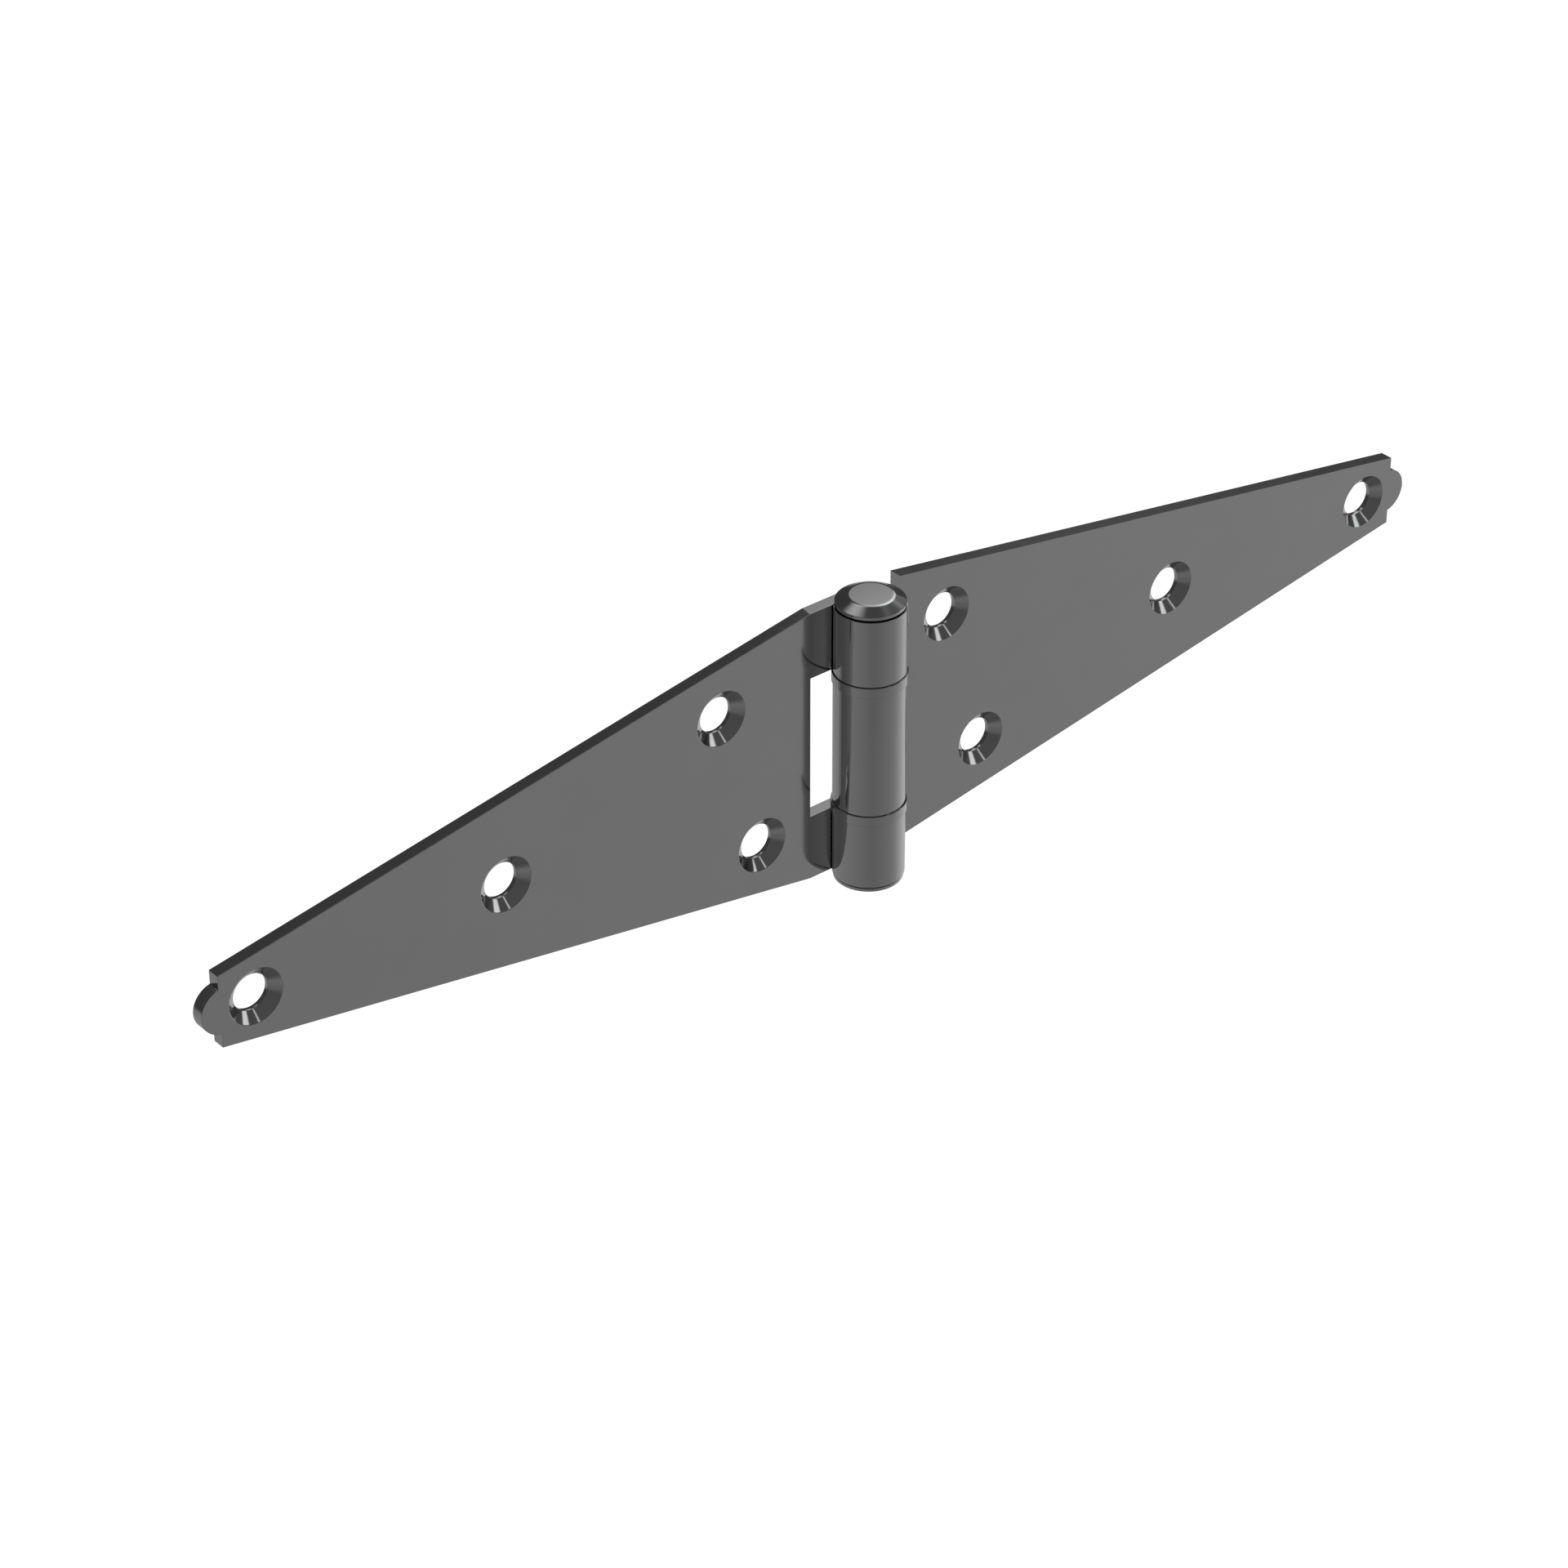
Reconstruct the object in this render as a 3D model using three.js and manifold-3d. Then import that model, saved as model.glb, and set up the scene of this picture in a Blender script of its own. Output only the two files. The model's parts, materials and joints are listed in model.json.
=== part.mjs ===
// A strap hinge: two tapered leaves whose wide ends are rolled into three knuckles round one pin, with a thrust
// ring between each pair of knuckles. The pin has a coned head at its upper end and is riveted into a collar of the
// same shape at its lower end.
// Millimetres. X runs along the leaves, Y through them and Z along the pin. The origin is the middle of the pin's
// axis. The leaves lie open and flat, with their mounting faces towards +Y and the countersinks towards -Y.

import * as THREE from "three";
import { mergeVertices } from "three/addons/utils/BufferGeometryUtils.js";
import Module from "manifold-3d";

// The plate and its rolled knuckles.
const PLATE = 3; // thickness
const BORE_RADIUS = 4.75; // inside of a rolled knuckle
const SEAM_GAP = 0.16; // between the rolled end's outer edge and the leaf's front face
const LEAF_HEIGHT = 65; // along the pin, where the leaf is widest
const MIDDLE_KNUCKLE = 29; // length of the right leaf's one knuckle
const NOTCH_GAP = 4.25; // from the knuckles to the edge of the leaf that has no knuckle there

// The taper and the round tip.
const SHOULDER_REACH = 159; // from the pin's axis to the end of the taper
const SHOULDER_HEIGHT = 16.7; // of the leaf at the end of the taper
const TIP_RADIUS = 5.27;
const TIP_INSET = 1; // how far the tip's centre lies behind the shoulder

// The countersunk screw holes of one leaf.
const HOLE_RADIUS = 4;
const COUNTERSINK_RADIUS = 6.25;
const COUNTERSINK_DEPTH = 1.95;
const END_HOLE_INSET = 8.3; // from the shoulder
const HOLE_SPACING = 59.9; // between the two holes on the leaf's centre line
const NEAR_HOLE_REACH = 25.1; // from the pin's axis, the upper of the right leaf's pair
const FAR_HOLE_REACH = 35.6; // the lower of the pair
const HOLE_EDGE_DISTANCE = 11.9; // from the tapered edge to each hole of the pair, along the pin

// What turns on the pin, and the pin's own ends.
const PIN_CLEARANCE = 0.05; // radial, to every bore it passes through
const RING_THICKNESS = 2.4;
const RING_PLAY = 0.05; // above and below each thrust ring
const RING_PROUD = 0.3; // how far the rings stand out from the knuckles
const HEAD_OVERHANG = 2.72; // how much wider the pin's head is than the bore, in radius
const HEAD_HEIGHT = 2.13;
const HEAD_RIM = 0.66; // height of the straight rim
const HEAD_SLOPE = 0.15 * Math.PI; // of the cone, from the flat face
const HEAD_EDGE_ROUND = 0.12; // between the rim and the cone
const HEAD_FACE_ROUND = 1.8; // between the cone and the flat face
const HEAD_PLAY = 0.34; // from each outer knuckle to the head or the collar beyond it
const PIN_END_ROUND = 0.2; // round the riveted end, which is flush with the collar's face

const ROUND_STEPS = 64; // facets of a full turn
const HOLE_STEPS = 48;
const ARC_STEPS = 32; // half the facets of the knuckles' roll and of the tip
const EDGE_STEPS = 4; // of each rounded edge of the pin's head and end
const MARGIN = 1; // how far a cutting or limiting solid runs past what it cuts

const KNUCKLE_RADIUS = BORE_RADIUS + PLATE;
const PIN_RADIUS = BORE_RADIUS - PIN_CLEARANCE;
const HEAD_RADIUS = BORE_RADIUS + HEAD_OVERHANG;
const NOTCH_REACH = KNUCKLE_RADIUS + NOTCH_GAP;
const HALF_HEIGHT = LEAF_HEIGHT / 2;
const HALF_SHOULDER = SHOULDER_HEIGHT / 2;
const HALF_MIDDLE = MIDDLE_KNUCKLE / 2;
const RING_GAP = RING_THICKNESS + 2 * RING_PLAY;
const HALF_NOTCH = HALF_MIDDLE + RING_GAP;

const wasm = await Module();
wasm.setup();

/** A closed three.js geometry as a solid that can be joined and cut. */
function solidOf(geometry) {
  const bare = geometry.clone().deleteAttribute("normal").deleteAttribute("uv");
  const merged = mergeVertices(bare);
  return new wasm.Manifold(
    new wasm.Mesh({
      numProp: 3,
      vertProperties: merged.attributes.position.array,
      triVerts: new Uint32Array(merged.index.array),
    }),
  );
}

/** A solid back as a three.js geometry, flat shaded. */
function geometryOf(solid) {
  const { vertProperties, triVerts } = solid.getMesh();
  const indexed = new THREE.BufferGeometry();
  indexed.setAttribute("position", new THREE.BufferAttribute(vertProperties, 3));
  indexed.setIndex(new THREE.BufferAttribute(triVerts, 1));
  const geometry = indexed.toNonIndexed();
  geometry.computeVertexNormals();
  return geometry;
}

/** A closed profile of [radius, height] points turned round the Y axis. */
function turned(profile, steps) {
  return new THREE.LatheGeometry(profile.map(([radius, height]) => new THREE.Vector2(radius, height)), steps);
}

/** The same, turned round the pin's axis, Z. */
function turnedOnPin(profile) {
  return turned(profile, ROUND_STEPS).rotateX(Math.PI / 2);
}

/** The plate in section across the pin: flat from the tip to the pin, then rolled nearly all the way round. */
function rolledSection() {
  const reach = SHOULDER_REACH + TIP_RADIUS + MARGIN;
  const endAngle = 2 * Math.PI + Math.asin((BORE_RADIUS - SEAM_GAP) / KNUCKLE_RADIUS);
  const section = new THREE.Shape();
  section.moveTo(reach, BORE_RADIUS);
  section.lineTo(reach, KNUCKLE_RADIUS);
  section.absarc(0, 0, KNUCKLE_RADIUS, Math.PI / 2, endAngle, false);
  section.absarc(0, 0, BORE_RADIUS, endAngle, Math.PI / 2, true);
  section.closePath();
  return section;
}

/** The leaf seen from the front, along its own +X. The knuckles' edges run from the upper to the lower corner. */
function leafOutline(knuckleEdges) {
  const chordAngle = Math.acos(TIP_INSET / TIP_RADIUS);
  const outline = new THREE.Shape();
  outline.moveTo(NOTCH_REACH, -HALF_HEIGHT);
  outline.lineTo(SHOULDER_REACH, -HALF_SHOULDER);
  outline.absarc(SHOULDER_REACH - TIP_INSET, 0, TIP_RADIUS, -chordAngle, chordAngle, false);
  outline.lineTo(SHOULDER_REACH, HALF_SHOULDER);
  outline.lineTo(NOTCH_REACH, HALF_HEIGHT);
  for (const [x, z] of knuckleEdges) {
    outline.lineTo(x, z);
  }
  outline.closePath();
  return outline;
}

/** The knuckle side of a leaf with two outer knuckles and a notch between them. */
function outerKnuckleEdges() {
  const past = -(KNUCKLE_RADIUS + MARGIN);
  return [
    [past, HALF_HEIGHT],
    [past, HALF_NOTCH],
    [NOTCH_REACH, HALF_NOTCH],
    [NOTCH_REACH, -HALF_NOTCH],
    [past, -HALF_NOTCH],
    [past, -HALF_HEIGHT],
  ];
}

/** The knuckle side of a leaf with one knuckle in the middle. */
function middleKnuckleEdges() {
  const past = -(KNUCKLE_RADIUS + MARGIN);
  return [
    [NOTCH_REACH, HALF_MIDDLE],
    [past, HALF_MIDDLE],
    [past, -HALF_MIDDLE],
    [NOTCH_REACH, -HALF_MIDDLE],
  ];
}

/** Half the leaf's height at a distance from the pin's axis. */
function halfHeightAt(reach) {
  const share = (reach - NOTCH_REACH) / (SHOULDER_REACH - NOTCH_REACH);
  return HALF_HEIGHT + share * (HALF_SHOULDER - HALF_HEIGHT);
}

/** The centres of one leaf's screw holes, as [x, z]. */
function holeCentres() {
  const endHole = SHOULDER_REACH - END_HOLE_INSET;
  return [
    [endHole, 0],
    [endHole - HOLE_SPACING, 0],
    [NEAR_HOLE_REACH, halfHeightAt(NEAR_HOLE_REACH) - HOLE_EDGE_DISTANCE],
    [FAR_HOLE_REACH, HOLE_EDGE_DISTANCE - halfHeightAt(FAR_HOLE_REACH)],
  ];
}

/** The solid that cuts one countersunk hole through the plate, along Y. */
function screwHole([x, z]) {
  const profile = [
    [0, BORE_RADIUS - MARGIN],
    [COUNTERSINK_RADIUS, BORE_RADIUS - MARGIN],
    [COUNTERSINK_RADIUS, BORE_RADIUS],
    [HOLE_RADIUS, BORE_RADIUS + COUNTERSINK_DEPTH],
    [HOLE_RADIUS, KNUCKLE_RADIUS + MARGIN],
    [0, KNUCKLE_RADIUS + MARGIN],
  ];
  return solidOf(turned(profile, HOLE_STEPS).translate(x, 0, z));
}

/** A leaf along its own +X: the rolled plate, limited to the leaf's outline and drilled. */
function leafGeometry(knuckleEdges) {
  const rolled = new THREE.ExtrudeGeometry(rolledSection(), {
    depth: LEAF_HEIGHT + 2 * MARGIN,
    curveSegments: ARC_STEPS,
    bevelEnabled: false,
  }).translate(0, 0, -HALF_HEIGHT - MARGIN);
  const depth = 2 * (KNUCKLE_RADIUS + MARGIN);
  const limits = new THREE.ExtrudeGeometry(leafOutline(knuckleEdges), {
    depth,
    curveSegments: ARC_STEPS,
    bevelEnabled: false,
  })
    .rotateX(Math.PI / 2)
    .translate(0, depth / 2, 0);
  let leaf = solidOf(rolled).intersect(solidOf(limits));
  for (const centre of holeCentres()) {
    leaf = leaf.subtract(screwHole(centre));
  }
  return geometryOf(leaf);
}

/** A thrust ring, centred on its own origin. */
function thrustRingGeometry() {
  const outer = KNUCKLE_RADIUS + RING_PROUD;
  const half = RING_THICKNESS / 2;
  return turnedOnPin([
    [BORE_RADIUS, -half],
    [outer, -half],
    [outer, half],
    [BORE_RADIUS, half],
    [BORE_RADIUS, -half],
  ]);
}

/** Points on an arc about a centre, as [radius, height], from one angle to another. */
function arcPoints([radius, height], round, start, end, steps) {
  return Array.from({ length: steps + 1 }, (_, i) => {
    const angle = start + (end - start) * (i / steps);
    return [radius + round * Math.cos(angle), height + round * Math.sin(angle)];
  });
}

/** The outside of a pin head above its foot: a straight rim, a rounded edge, a cone and a rounded flat face. */
function headOutline() {
  const square = Math.PI / 2;
  const coneNormal = square - HEAD_SLOPE;
  const edgeCentre = [HEAD_RADIUS - HEAD_EDGE_ROUND, HEAD_RIM];
  const edge = arcPoints(edgeCentre, HEAD_EDGE_ROUND, 0, coneNormal, EDGE_STEPS);
  const [coneRadius, coneFoot] = edge[EDGE_STEPS];
  const coneTop = HEAD_HEIGHT - HEAD_FACE_ROUND * (1 - Math.cos(HEAD_SLOPE));
  const coneTopRadius = coneRadius - (coneTop - coneFoot) / Math.tan(HEAD_SLOPE);
  const faceRadius = coneTopRadius - HEAD_FACE_ROUND * Math.sin(HEAD_SLOPE);
  const faceCentre = [faceRadius, HEAD_HEIGHT - HEAD_FACE_ROUND];
  return [[HEAD_RADIUS, 0], ...edge, ...arcPoints(faceCentre, HEAD_FACE_ROUND, coneNormal, square, EDGE_STEPS)];
}

/** The collar, standing on its own origin: the shape of the pin's head, bored for the pin. */
function collarGeometry() {
  const head = solidOf(turnedOnPin([[0, 0], ...headOutline(), [0, HEAD_HEIGHT]]));
  const bore = turnedOnPin([
    [0, -MARGIN],
    [BORE_RADIUS, -MARGIN],
    [BORE_RADIUS, HEAD_HEIGHT + MARGIN],
    [0, HEAD_HEIGHT + MARGIN],
  ]);
  return geometryOf(head.subtract(solidOf(bore)));
}

/** The pin from its rounded lower end to its head, whose foot is at headFoot. */
function pinGeometry(lowerEnd, headFoot) {
  const square = Math.PI / 2;
  const endCentre = [PIN_RADIUS - PIN_END_ROUND, lowerEnd + PIN_END_ROUND];
  const head = headOutline().map(([radius, height]) => [radius, headFoot + height]);
  return turnedOnPin([
    [0, lowerEnd],
    ...arcPoints(endCentre, PIN_END_ROUND, -square, 0, EDGE_STEPS),
    [PIN_RADIUS, headFoot],
    ...head,
    [0, headFoot + HEAD_HEIGHT],
  ]);
}

/** Polished steel of one shade. */
function steel(color, roughness) {
  return new THREE.MeshStandardMaterial({ color, roughness, metalness: 1 });
}

const hinge = new THREE.Group();

/** Puts one named piece in the hinge and returns it, to be placed. */
function addPiece(name, geometry, material) {
  const piece = new THREE.Mesh(geometry, material);
  piece.name = name;
  hinge.add(piece);
  return piece;
}

const leftLeaf = addPiece("left_leaf", leafGeometry(outerKnuckleEdges()), steel(0x6f7173, 0.18));
leftLeaf.rotation.y = Math.PI;
addPiece("right_leaf", leafGeometry(middleKnuckleEdges()), steel(0x747678, 0.18));

const ringHeight = HALF_MIDDLE + RING_GAP / 2;
addPiece("upper_thrust_ring", thrustRingGeometry(), steel(0x66686a, 0.22)).position.z = ringHeight;
addPiece("lower_thrust_ring", thrustRingGeometry(), steel(0x66686a, 0.22)).position.z = -ringHeight;

const headFoot = HALF_HEIGHT + HEAD_PLAY;
const lowerEnd = -(headFoot + HEAD_HEIGHT);
addPiece("hinge_pin", pinGeometry(lowerEnd, headFoot), steel(0x707274, 0.15));
const collar = addPiece("lower_pin_collar", collarGeometry(), steel(0x6a6c6e, 0.15));
collar.rotation.x = Math.PI;
collar.position.z = -headFoot;

export default hinge;
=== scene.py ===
import json
import math

import bmesh
import bpy
from mathutils import Matrix, Vector


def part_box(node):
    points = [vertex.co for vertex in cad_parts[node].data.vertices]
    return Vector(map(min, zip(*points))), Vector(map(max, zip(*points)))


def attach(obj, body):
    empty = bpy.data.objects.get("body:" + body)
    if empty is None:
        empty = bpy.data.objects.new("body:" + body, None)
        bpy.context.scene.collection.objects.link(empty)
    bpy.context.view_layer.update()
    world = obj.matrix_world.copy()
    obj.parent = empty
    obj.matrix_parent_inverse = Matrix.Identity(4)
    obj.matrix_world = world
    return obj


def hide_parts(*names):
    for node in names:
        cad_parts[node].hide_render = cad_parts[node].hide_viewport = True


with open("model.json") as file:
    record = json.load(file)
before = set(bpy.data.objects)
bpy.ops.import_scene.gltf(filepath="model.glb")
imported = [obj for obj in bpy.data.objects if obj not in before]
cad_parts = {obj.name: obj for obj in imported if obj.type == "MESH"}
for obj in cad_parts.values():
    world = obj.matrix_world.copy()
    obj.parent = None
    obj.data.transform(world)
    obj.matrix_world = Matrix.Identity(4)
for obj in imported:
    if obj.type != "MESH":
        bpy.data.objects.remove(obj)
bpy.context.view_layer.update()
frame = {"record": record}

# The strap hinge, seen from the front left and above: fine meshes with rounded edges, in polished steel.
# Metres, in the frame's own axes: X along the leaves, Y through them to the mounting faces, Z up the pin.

MM = 0.001

# Sizes that the frame's boxes don't give.
PLATE = 3 * MM
SEAM_GAP = 0.16 * MM  # between a rolled end's outer edge and its leaf's front face
NOTCH_GAP = 4.25 * MM  # from the knuckles to the edge of the leaf that has no knuckle there
SHOULDER_HEIGHT = 16.7 * MM  # of the leaf at the end of its taper
TIP_RADIUS = 5.27 * MM
TIP_INSET = 1 * MM  # how far the tip's centre lies behind the shoulder
HOLE_RADIUS = 4 * MM
COUNTERSINK_RADIUS = 6.25 * MM
COUNTERSINK_DEPTH = 1.95 * MM
RING_PLAY = 0.05 * MM
PIN_CLEARANCE = 0.05 * MM  # radial, between the pin and every bore
HEAD_RIM = 0.66 * MM  # height of the straight rim of the pin's head
HEAD_SLOPE = math.radians(27)  # of the head's cone, from its flat face
HEAD_EDGE_ROUND = 0.12 * MM  # between the rim and the cone
HEAD_FACE_ROUND = 1.8 * MM  # between the cone and the flat face

# How fine the meshes are, and how rounded their edges.
ROLL_STEPS = 192
HOLE_STEPS = 96
ROUND_STEPS = 192
TIP_STEPS = 48
BEVEL_STEPS = 3
BEVEL_ANGLE = math.radians(6)
PLATE_EDGE = 0.16 * MM
TURNED_EDGE = 0.14 * MM
PIN_EDGE = 0.2 * MM
FOOT_EDGE = 0.06 * MM  # round the foot of the pin's head
EDGE_STEPS = 12
MARGIN = 1 * MM  # how far a cutting or limiting solid runs past what it cuts
WELD = 1e-7  # points nearer to each other than this become one

# The frame's own sizes.
left_low, left_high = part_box("left_leaf")
ring_low, ring_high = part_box("upper_thrust_ring")
collar_low, collar_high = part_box("lower_pin_collar")
pin_low, pin_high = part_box("hinge_pin")

KNUCKLE_RADIUS = left_high.y
BORE_RADIUS = KNUCKLE_RADIUS - PLATE
HALF_HEIGHT = left_high.z
HALF_MIDDLE = ring_low.z - RING_PLAY
HALF_NOTCH = ring_high.z + RING_PLAY
NOTCH_REACH = KNUCKLE_RADIUS + NOTCH_GAP
SHOULDER_REACH = TIP_INSET - TIP_RADIUS - left_low.x
PIN_RADIUS = BORE_RADIUS - PIN_CLEARANCE
HEAD_RADIUS = collar_high.x
HEAD_HEIGHT = collar_high.z - collar_low.z
HEAD_FOOT = -collar_high.z  # the collar stands on the mirror image of this height
PAST_KNUCKLE = -(KNUCKLE_RADIUS + MARGIN)


def arc(centre, radius, start, end, steps):
    """Points on an arc about centre, from the angle start to the angle end, both included."""
    angles = [start + (end - start) * i / steps for i in range(steps + 1)]
    return [(centre[0] + radius * math.cos(a), centre[1] + radius * math.sin(a)) for a in angles]


def mesh_object(name, bm):
    """A smooth object made from a bmesh, with its faces pointing out."""
    bmesh.ops.remove_doubles(bm, verts=bm.verts, dist=WELD)
    bmesh.ops.recalc_face_normals(bm, faces=bm.faces)
    mesh = bpy.data.meshes.new(name)
    bm.to_mesh(mesh)
    bm.free()
    obj = bpy.data.objects.new(name, mesh)
    bpy.context.scene.collection.objects.link(obj)
    return obj


def prism(name, outline, place, low, high):
    """A closed outline pushed from low to high. place turns (a, b, height) into a point."""
    bm = bmesh.new()
    bottom = [bm.verts.new(place(a, b, low)) for a, b in outline]
    top = [bm.verts.new(place(a, b, high)) for a, b in outline]
    bm.faces.new(bottom)
    bm.faces.new(top)
    for i in range(len(outline)):
        j = (i + 1) % len(outline)
        bm.faces.new((bottom[i], bottom[j], top[j], top[i]))
    return mesh_object(name, bm)


def revolved(name, profile, steps, place):
    """A profile of (radius, height) turned once round its axis. It closes on itself or ends on the axis."""
    bm = bmesh.new()
    rings = []
    for radius, height in profile:
        if radius == 0:
            rings.append([bm.verts.new(place(0, 0, height))] * steps)
            continue
        turn = [2 * math.pi * i / steps for i in range(steps)]
        rings.append([bm.verts.new(place(radius * math.cos(a), radius * math.sin(a), height)) for a in turn])
    if profile[0][0] > 0:
        rings.append(rings[0])
    for lower, upper in zip(rings, rings[1:]):
        for i in range(steps):
            j = (i + 1) % steps
            corners = dict.fromkeys((lower[i], lower[j], upper[j], upper[i]))
            bm.faces.new(tuple(corners))
    return mesh_object(name, bm)


def along_z(a, b, height):
    return (a, b, height)


def along_y(a, b, height):
    return (a, height, b)


def combine(obj, tool, operation):
    """Joins or cuts obj with tool, and removes the tool."""
    modifier = obj.modifiers.new("shape", "BOOLEAN")
    modifier.operation = operation
    modifier.solver = "EXACT"
    modifier.object = tool
    depsgraph = bpy.context.evaluated_depsgraph_get()
    made = bpy.data.meshes.new_from_object(obj.evaluated_get(depsgraph))
    obj.modifiers.clear()
    obj.data = made
    bpy.data.objects.remove(tool)


def weigh_normals(obj, keep_sharp):
    """Keeps the large faces shading flat up to their rounded edges."""
    normals = obj.modifiers.new("normals", "WEIGHTED_NORMAL")
    normals.mode = "FACE_AREA"
    normals.weight = 100
    normals.keep_sharp = keep_sharp


def round_edges(obj, width):
    """Rounds every sharp edge."""
    obj.data.shade_smooth()
    bevel = obj.modifiers.new("edges", "BEVEL")
    bevel.width = width
    bevel.segments = BEVEL_STEPS
    bevel.limit_method = "ANGLE"
    bevel.angle_limit = BEVEL_ANGLE
    bevel.miter_outer = "MITER_ARC"
    bevel.loop_slide = False  # sliding folds a sliver where a flat face's split meets an inner corner
    bevel.use_clamp_overlap = True
    weigh_normals(obj, True)


def place_piece(obj, body, material, node):
    """Gives a finished piece its material, and lets it stand for its CAD node."""
    obj.data.materials.clear()
    obj.data.materials.append(material)
    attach(obj, body)
    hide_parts(node)


# The leaves.


def rolled_section():
    """The plate in section across the pin: flat from past the tip, then rolled nearly all the way round."""
    reach = SHOULDER_REACH + TIP_RADIUS + MARGIN
    end = 2 * math.pi + math.asin((BORE_RADIUS - SEAM_GAP) / KNUCKLE_RADIUS)
    outside = arc((0, 0), KNUCKLE_RADIUS, math.pi / 2, end, ROLL_STEPS)
    inside = arc((0, 0), BORE_RADIUS, end, math.pi / 2, ROLL_STEPS)
    return [(reach, BORE_RADIUS), (reach, KNUCKLE_RADIUS), *outside, *inside]


def leaf_outline(knuckle_edges):
    """The leaf seen from the front, along its own +X. The knuckles' edges run from the top down."""
    half_angle = math.acos(TIP_INSET / TIP_RADIUS)
    tip = arc((SHOULDER_REACH - TIP_INSET, 0), TIP_RADIUS, -half_angle, half_angle, TIP_STEPS)
    half_shoulder = SHOULDER_HEIGHT / 2
    taper_low = [(NOTCH_REACH, -HALF_HEIGHT), (SHOULDER_REACH, -half_shoulder)]
    taper_high = [(SHOULDER_REACH, half_shoulder), (NOTCH_REACH, HALF_HEIGHT)]
    return [*taper_low, *tip, *taper_high, *knuckle_edges]


def outer_knuckle_edges():
    """The knuckle side of the leaf with two outer knuckles and a notch between them."""
    return [
        (PAST_KNUCKLE, HALF_HEIGHT),
        (PAST_KNUCKLE, HALF_NOTCH),
        (NOTCH_REACH, HALF_NOTCH),
        (NOTCH_REACH, -HALF_NOTCH),
        (PAST_KNUCKLE, -HALF_NOTCH),
        (PAST_KNUCKLE, -HALF_HEIGHT),
    ]


def middle_knuckle_edges():
    """The knuckle side of the leaf with one knuckle in the middle."""
    return [
        (NOTCH_REACH, HALF_MIDDLE),
        (PAST_KNUCKLE, HALF_MIDDLE),
        (PAST_KNUCKLE, -HALF_MIDDLE),
        (NOTCH_REACH, -HALF_MIDDLE),
    ]


def hole_centres(side_name):
    """The centres (x, z) of the screw holes: the record's openings whose names start with left or right."""
    centres = []
    for opening in frame["record"]["physics"]["openings"]:
        if opening["name"].startswith(side_name):
            low, high = opening["box_m"]
            centres.append(((low[0] + high[0]) / 2, (low[2] + high[2]) / 2))
    return centres


def screw_hole(centre):
    """The solid that cuts one countersunk hole through the plate."""
    profile = [
        (0, BORE_RADIUS - MARGIN),
        (COUNTERSINK_RADIUS, BORE_RADIUS - MARGIN),
        (COUNTERSINK_RADIUS, BORE_RADIUS),
        (HOLE_RADIUS, BORE_RADIUS + COUNTERSINK_DEPTH),
        (HOLE_RADIUS, KNUCKLE_RADIUS + MARGIN),
        (0, KNUCKLE_RADIUS + MARGIN),
    ]
    tool = revolved("hole_tool", profile, HOLE_STEPS, along_y)
    tool.data.transform(Matrix.Translation((centre[0], 0, centre[1])))
    return tool


def leaf(node, side, knuckle_edges, material):
    """A leaf on one side of the pin, -1 for the left and 1 for the right."""
    limit = HALF_HEIGHT + MARGIN
    obj = prism(f"{node}_plate", rolled_section(), along_z, -limit, limit)
    outline = leaf_outline(knuckle_edges)
    combine(obj, prism("outline_tool", outline, along_y, PAST_KNUCKLE, -PAST_KNUCKLE), "INTERSECT")
    if side < 0:
        obj.data.transform(Matrix.Rotation(math.pi, 4, "Y"))
    for centre in hole_centres(node.split("_")[0]):
        combine(obj, screw_hole(centre), "DIFFERENCE")
    round_edges(obj, PLATE_EDGE)
    place_piece(obj, node, material, node)


# The pin, its collar and the thrust rings.


def thrust_ring(place, material):
    """One of the two rings between the knuckles: place is upper or lower."""
    node = f"{place}_thrust_ring"
    low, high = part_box(node)
    profile = [(BORE_RADIUS, low.z), (high.x, low.z), (high.x, high.z), (BORE_RADIUS, high.z)]
    obj = revolved(f"{place}_ring_turned", profile, ROUND_STEPS, along_z)
    round_edges(obj, TURNED_EDGE)
    place_piece(obj, f"{place}_ring", material, node)


def head_outline():
    """The outside of a pin head above its foot: a rim, a rounded edge, a cone and a rounded flat face."""
    cone_normal = math.pi / 2 - HEAD_SLOPE
    rim = arc((HEAD_RADIUS - FOOT_EDGE, FOOT_EDGE), FOOT_EDGE, -math.pi / 2, 0, EDGE_STEPS)
    edge = arc((HEAD_RADIUS - HEAD_EDGE_ROUND, HEAD_RIM), HEAD_EDGE_ROUND, 0, cone_normal, EDGE_STEPS)
    cone_radius, cone_foot = edge[-1]
    cone_top = HEAD_HEIGHT - HEAD_FACE_ROUND * (1 - math.cos(HEAD_SLOPE))
    cone_top_radius = cone_radius - (cone_top - cone_foot) / math.tan(HEAD_SLOPE)
    face_radius = cone_top_radius - HEAD_FACE_ROUND * math.sin(HEAD_SLOPE)
    face_centre = (face_radius, HEAD_HEIGHT - HEAD_FACE_ROUND)
    face = arc(face_centre, HEAD_FACE_ROUND, cone_normal, math.pi / 2, EDGE_STEPS)
    return [*rim, *edge, *face, (face_radius - FOOT_EDGE, HEAD_HEIGHT)]


def smooth_turning(name, profile, node, material):
    """A turned piece whose profile already has its rounded edges."""
    obj = revolved(name, profile, ROUND_STEPS, along_z)
    obj.data.shade_smooth()
    weigh_normals(obj, False)
    place_piece(obj, "pin", material, node)


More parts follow.
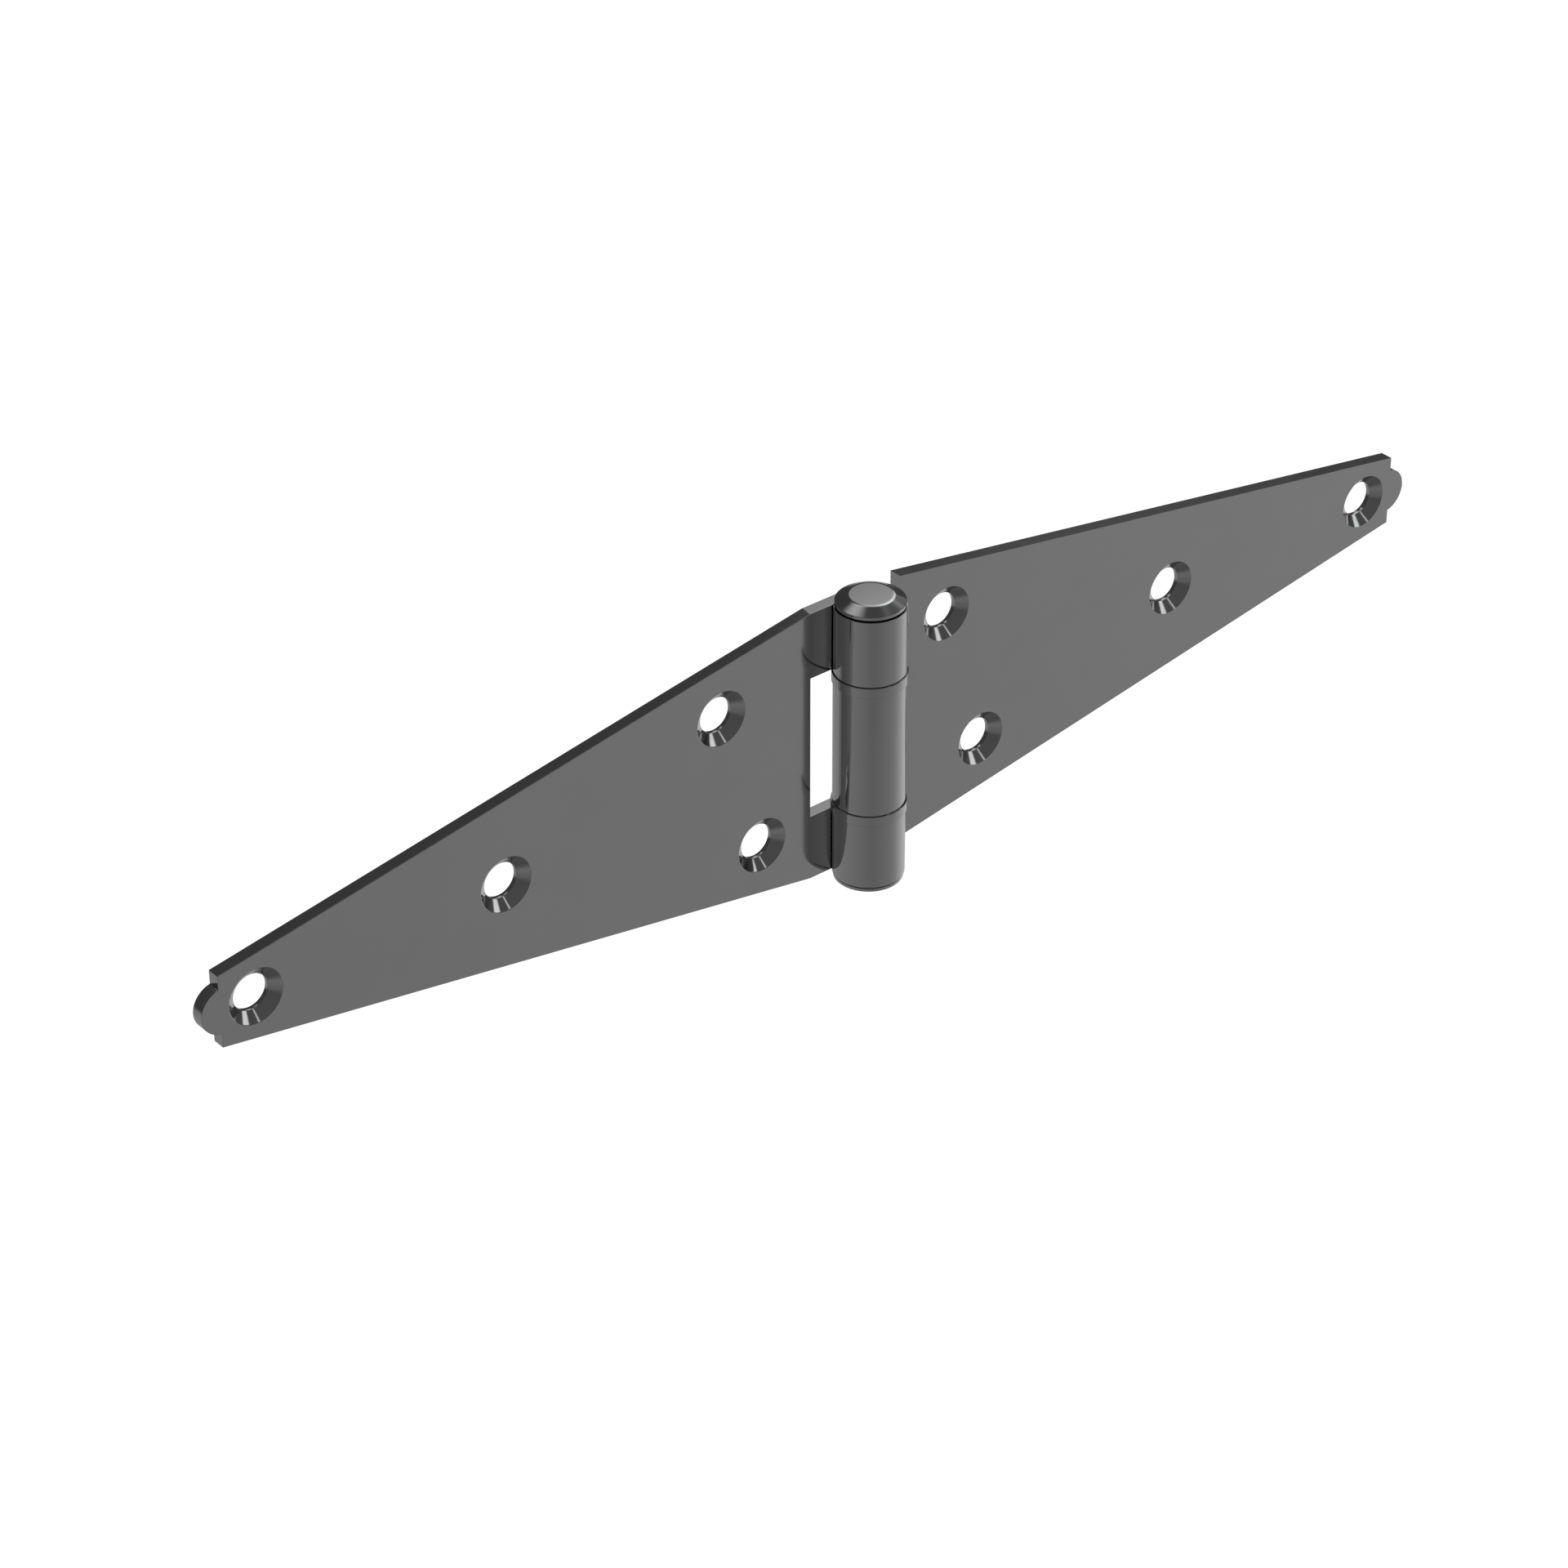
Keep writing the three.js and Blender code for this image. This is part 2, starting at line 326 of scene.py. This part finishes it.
def headed_pin(material):
    """The pin from its rounded lower end to the flat face of its head."""
    end_centre = (PIN_RADIUS - PIN_EDGE, pin_low.z + PIN_EDGE)
    end = arc(end_centre, PIN_EDGE, -math.pi / 2, 0, EDGE_STEPS)
    head = [(radius, HEAD_FOOT + height) for radius, height in head_outline()]
    profile = [(0, pin_low.z), *end, (PIN_RADIUS, HEAD_FOOT), *head, (0, pin_high.z)]
    smooth_turning("pin_rod", profile, "hinge_pin", material)


def riveted_collar(material):
    """The collar at the pin's lower end: the shape of the head, bored for the pin."""
    outline = [point for point in head_outline() if point[0] > BORE_RADIUS]
    outside = [(radius, -HEAD_FOOT - height) for radius, height in outline]
    profile = [(BORE_RADIUS, -HEAD_FOOT), *outside, (BORE_RADIUS, outside[-1][1])]
    smooth_turning("lower_collar_turned", profile, "lower_pin_collar", material)


# Shader nodes. A value given to them is a number or another node's output.


def feed(tree, value, socket):
    if isinstance(value, (int, float)):
        socket.default_value = value
    else:
        tree.links.new(value, socket)


def calculated(tree, operation, first, second=0):
    """The result of a math node."""
    node = tree.nodes.new("ShaderNodeMath")
    node.operation = operation
    feed(tree, first, node.inputs[0])
    feed(tree, second, node.inputs[1])
    return node.outputs["Value"]


def mapped(tree, value, low, high, at_low, at_high, curve="LINEAR"):
    """value, taken from the range low to high into the range at_low to at_high."""
    node = tree.nodes.new("ShaderNodeMapRange")
    node.interpolation_type = curve
    feed(tree, value, node.inputs["Value"])
    feed(tree, low, node.inputs["From Min"])
    feed(tree, high, node.inputs["From Max"])
    feed(tree, at_low, node.inputs["To Min"])
    feed(tree, at_high, node.inputs["To Max"])
    return node.outputs["Result"]


def mixed(tree, factor, first, second):
    """first where factor is 0 and second where it is 1."""
    node = tree.nodes.new("ShaderNodeMix")
    feed(tree, factor, node.inputs["Factor"])
    feed(tree, first, node.inputs["A"])
    feed(tree, second, node.inputs["B"])
    return node.outputs["Result"]


def noise(tree, place, scale, detail, roughness):
    """A noise texture at a place."""
    node = tree.nodes.new("ShaderNodeTexNoise")
    feed(tree, place, node.inputs["Vector"])
    feed(tree, scale, node.inputs["Scale"])
    feed(tree, detail, node.inputs["Detail"])
    feed(tree, roughness, node.inputs["Roughness"])
    return node.outputs["Fac"]


# The steel.

STEEL = (0.46, 0.46, 0.463)
TONE_CHANGE = 0.03  # how much lighter and darker the steel gets, as a share
ROUGHNESS = 0.1
ROUGHNESS_CHANGE = 0.015
NOISE_LOW = 0.3  # the noise's usual range
NOISE_HIGH = 0.7
CLOUD_SCALE = 90
CLOUD_DETAIL = 4
CLOUD_ROUGHNESS = 0.5
GRAIN_DETAIL = 6
GRAIN_ROUGHNESS = 0.6
GRAIN_SHARE = 0.45  # of the changes in roughness; the clouds make the rest
GRAIN_BUMP = 0.015
GRAIN_DEPTH = 0.01 * MM
LEAF_GRAIN = (40, 1500, 1500)  # drawn out along the leaf
TURNED_GRAIN = (1500, 1500, 4000)  # flattened into rings
PIN_GRAIN = (1500, 1500, 1500)


def polished_steel(name, grain_scale):
    """Polished steel with faint clouds in its tone and roughness, and a fine grain."""
    material = bpy.data.materials.new(name)
    material.use_nodes = True
    tree = material.node_tree
    shader = tree.nodes["Principled BSDF"]
    shader.inputs["Metallic"].default_value = 1

    where = tree.nodes.new("ShaderNodeTexCoord").outputs["Object"]
    clouds = noise(tree, where, CLOUD_SCALE, CLOUD_DETAIL, CLOUD_ROUGHNESS)
    stretch = tree.nodes.new("ShaderNodeMapping")
    stretch.inputs["Scale"].default_value = grain_scale
    tree.links.new(where, stretch.inputs["Vector"])
    grain = noise(tree, stretch.outputs["Vector"], 1, GRAIN_DETAIL, GRAIN_ROUGHNESS)

    both = mixed(tree, GRAIN_SHARE, clouds, grain)
    smoothest = ROUGHNESS - ROUGHNESS_CHANGE
    roughest = ROUGHNESS + ROUGHNESS_CHANGE
    roughness = mapped(tree, both, NOISE_LOW, NOISE_HIGH, smoothest, roughest)
    tree.links.new(roughness, shader.inputs["Roughness"])

    tone = tree.nodes.new("ShaderNodeMixRGB")
    tone.inputs["Color1"].default_value = (*[c * (1 - TONE_CHANGE) for c in STEEL], 1)
    tone.inputs["Color2"].default_value = (*[c * (1 + TONE_CHANGE) for c in STEEL], 1)
    tree.links.new(clouds, tone.inputs["Fac"])
    tree.links.new(tone.outputs["Color"], shader.inputs["Base Color"])

    bump = tree.nodes.new("ShaderNodeBump")
    bump.inputs["Strength"].default_value = GRAIN_BUMP
    bump.inputs["Distance"].default_value = GRAIN_DEPTH
    tree.links.new(grain, bump.inputs["Height"])
    tree.links.new(bump.outputs["Normal"], shader.inputs["Normal"])
    return material


# The camera. Its place and lens were fitted to the photograph's outlines.

CAMERA_AZIMUTH = -39.58
CAMERA_ELEVATION = 32.86
CAMERA_ROLL = -0.09
CAMERA_DISTANCE = 0.9775
CAMERA_TARGET = Vector((-0.0231, 0, -0.0018))
CAMERA_LENS = 109.0
SENSOR_WIDTH = 36.0
CLIP_START = 0.01
CLIP_END = 50


def direction(azimuth, elevation):
    """The unit vector from the hinge to a camera or light. Azimuth 0 is in front, at -Y, and 90 at +X."""
    a = math.radians(azimuth)
    e = math.radians(elevation)
    return Vector((math.sin(a) * math.cos(e), -math.cos(a) * math.cos(e), math.sin(e)))


def place_camera():
    data = bpy.data.cameras.new("camera")
    data.lens = CAMERA_LENS
    data.sensor_width = SENSOR_WIDTH
    data.clip_start = CLIP_START
    data.clip_end = CLIP_END
    camera = bpy.data.objects.new("camera", data)
    bpy.context.scene.collection.objects.link(camera)
    back = direction(CAMERA_AZIMUTH, CAMERA_ELEVATION)
    camera.location = CAMERA_TARGET + back * CAMERA_DISTANCE
    level = (-back).to_track_quat("-Z", "Y").to_matrix()
    turn = level @ Matrix.Rotation(math.radians(CAMERA_ROLL), 3, "Z")
    camera.rotation_euler = turn.to_euler()
    bpy.context.scene.camera = camera


# The floor.

FLOOR_HEIGHT = -0.25
FLOOR_REACH = 6.0
FLOOR_WHITE = (0.88, 0.88, 0.88, 1)
FLOOR_ROUGHNESS = 0.9
FLOOR_GLOSS = 0.1


def pale_floor():
    """A plain pale floor well below the hinge. The steel doesn't reflect it, but the room in its place."""
    bm = bmesh.new()
    reach = FLOOR_REACH
    corners = [(-reach, -reach), (reach, -reach), (reach, reach), (-reach, reach)]
    bm.faces.new([bm.verts.new((x, y, FLOOR_HEIGHT)) for x, y in corners])
    floor = mesh_object("floor", bm)
    material = bpy.data.materials.new("floor_white")
    material.use_nodes = True
    shader = material.node_tree.nodes["Principled BSDF"]
    shader.inputs["Base Color"].default_value = FLOOR_WHITE
    shader.inputs["Roughness"].default_value = FLOOR_ROUGHNESS
    shader.inputs["Specular IOR Level"].default_value = FLOOR_GLOSS
    floor.data.materials.append(material)
    floor.visible_glossy = False


# The room. The camera sees it at its own strength and it lights the floor at another.

CAMERA_LIGHT = 1.0
FLOOR_LIGHT = 1.2

# What the steel reflects below the horizon. These seven are rounded results of a program that fitted them to
# the photograph's reflections.
LOWER_ROOM = 0.219
LOWER_RIGHT = 0.351
LOWER_RIGHT_AZIMUTH = 97
LOWER_RIGHT_POWER = 8.7
LOWER_BACK = 0.15
LOWER_BACK_AZIMUTH = 150
LOWER_BACK_POWER = 0.5

# The rest of what it reflects was set one by one. Heights are a direction's Z, from -1 straight down to 1.
LEVEL_SHARE = 0.84  # of a direction 33 degrees below the horizon: its cosine
UNDER_SHADE = 0.4  # how much of the lower half's light is left straight below
UNDER_SHADE_WHOLE = -0.95
UNDER_SHADE_GONE = -0.72
LOWER_HALF_ENDS = -0.42
UPPER_HALF_STARTS = -0.1
UPPER_FRONT = 0.125
UPPER_BACK = 0.055


def towards(tree, where, azimuth, power):
    """How far a direction below the horizon points to an azimuth: 0 is straight away, 1 straight at it."""
    along = tree.nodes.new("ShaderNodeVectorMath")
    along.operation = "DOT_PRODUCT"
    along.inputs[1].default_value = direction(azimuth, 0)
    tree.links.new(where, along.inputs[0])
    share = mapped(tree, along.outputs["Value"], -LEVEL_SHARE, LEVEL_SHARE, 0, 1)
    return calculated(tree, "POWER", share, power)


def soft_world():
    """The studio room. It is white behind the hinge and lights the floor. What the steel reflects is dimmer:
    a dark upper half, and a lower half that grows brighter to the right and, less, to the back."""
    world = bpy.data.worlds.new("studio")
    world.use_nodes = True
    tree = world.node_tree
    where = tree.nodes.new("ShaderNodeTexCoord").outputs["Generated"]
    parts = tree.nodes.new("ShaderNodeSeparateXYZ")
    tree.links.new(where, parts.inputs["Vector"])
    height = parts.outputs["Z"]

    right = towards(tree, where, LOWER_RIGHT_AZIMUTH, LOWER_RIGHT_POWER)
    back = towards(tree, where, LOWER_BACK_AZIMUTH, LOWER_BACK_POWER)
    right_light = mapped(tree, right, 0, 1, 0, LOWER_RIGHT)
    back_light = mapped(tree, back, 0, 1, LOWER_ROOM, LOWER_ROOM + LOWER_BACK)
    lower_light = calculated(tree, "ADD", right_light, back_light)
    shade = mapped(tree, height, UNDER_SHADE_WHOLE, UNDER_SHADE_GONE, UNDER_SHADE, 1, "SMOOTHSTEP")
    lower_half = calculated(tree, "MULTIPLY", lower_light, shade)

    upper_half = mapped(tree, parts.outputs["Y"], -1, 1, UPPER_FRONT, UPPER_BACK)
    above = mapped(tree, height, LOWER_HALF_ENDS, UPPER_HALF_STARTS, 0, 1, "SMOOTHSTEP")
    reflected = mixed(tree, above, lower_half, upper_half)

    ray = tree.nodes.new("ShaderNodeLightPath")
    unseen = mixed(tree, ray.outputs["Is Glossy Ray"], FLOOR_LIGHT, reflected)
    strength = mixed(tree, ray.outputs["Is Camera Ray"], unseen, CAMERA_LIGHT)
    room = tree.nodes["Background"]
    room.inputs["Color"].default_value = (1, 1, 1, 1)
    tree.links.new(strength, room.inputs["Strength"])
    bpy.context.scene.world = world


# The soft boxes.

BOX_DISTANCE = 2.5


def area_lamp(name, location, target, width, height, radiance):
    """A rectangular lamp facing target, whose power gives its surface this radiance."""
    data = bpy.data.lights.new(name, "AREA")
    data.shape = "RECTANGLE"
    data.size = width
    data.size_y = height
    data.energy = radiance * math.pi * width * height
    lamp = bpy.data.objects.new(name, data)
    bpy.context.scene.collection.objects.link(lamp)
    lamp.location = location
    lamp.rotation_euler = (Vector(target) - Vector(location)).to_track_quat("-Z", "Y").to_euler()
    lamp.visible_camera = False
    return lamp


def fade(tree, across, soft):
    """1 in the middle of a lamp, falling to 0 over the outer share soft of each half."""
    offset = calculated(tree, "SUBTRACT", across, 0.5)
    distance = calculated(tree, "ABSOLUTE", offset)
    return mapped(tree, distance, 0.5 * (1 - soft), 0.5, 1, 0, "SMOOTHSTEP")


def studio_box(name, azimuth, elevation, wide, high, radiance, soft):
    """A soft box that shows in reflections only, and fades out at its edges. It is wide and high in degrees,
    as the hinge sees it."""
    location = direction(azimuth, elevation) * BOX_DISTANCE
    width = 2 * BOX_DISTANCE * math.tan(math.radians(wide / 2))
    height = 2 * BOX_DISTANCE * math.tan(math.radians(high / 2))
    lamp = area_lamp(name, location, (0, 0, 0), width, height, radiance)
    lamp.visible_diffuse = False
    lamp.data.use_nodes = True
    tree = lamp.data.node_tree
    where = tree.nodes.new("ShaderNodeNewGeometry")
    parts = tree.nodes.new("ShaderNodeSeparateXYZ")
    tree.links.new(where.outputs["Parametric"], parts.inputs["Vector"])
    faded_across = fade(tree, parts.outputs["X"], soft)
    faded_up = fade(tree, parts.outputs["Y"], soft)
    faded = calculated(tree, "MULTIPLY", faded_across, faded_up)
    tree.links.new(faded, tree.nodes["Emission"].inputs["Strength"])


place_camera()
soft_world()
pale_floor()

# These four boxes' numbers are rounded results of a program that fitted them to the photograph's
# reflections.
studio_box("wide_box", azimuth=124, elevation=49.7, wide=42.8, high=56, radiance=0.78, soft=0.59)
studio_box("low_box", azimuth=120.8, elevation=26.7, wide=26.8, high=26, radiance=0.89, soft=0.95)
studio_box("side_box", azimuth=112.3, elevation=47.9, wide=29.7, high=33.4, radiance=0.75, soft=0.65)
studio_box("high_box", azimuth=183, elevation=64.2, wide=28.5, high=38.7, radiance=0.87, soft=0.95)

# These two were placed one by one.
studio_box("front_box", azimuth=63, elevation=18, wide=20, high=20, radiance=1.2, soft=0.5)
studio_box("thin_box", azimuth=24, elevation=39, wide=5, high=20, radiance=1.0, soft=0.5)

leaf_material = polished_steel("leaf_steel", LEAF_GRAIN)
turned_material = polished_steel("turned_steel", TURNED_GRAIN)
pin_material = polished_steel("pin_steel", PIN_GRAIN)

leaf("left_leaf", -1, outer_knuckle_edges(), leaf_material)
leaf("right_leaf", 1, middle_knuckle_edges(), leaf_material)
for place in ("upper", "lower"):
    thrust_ring(place, turned_material)
headed_pin(pin_material)
riveted_collar(turned_material)

bpy.context.scene.view_settings.view_transform = "Standard"
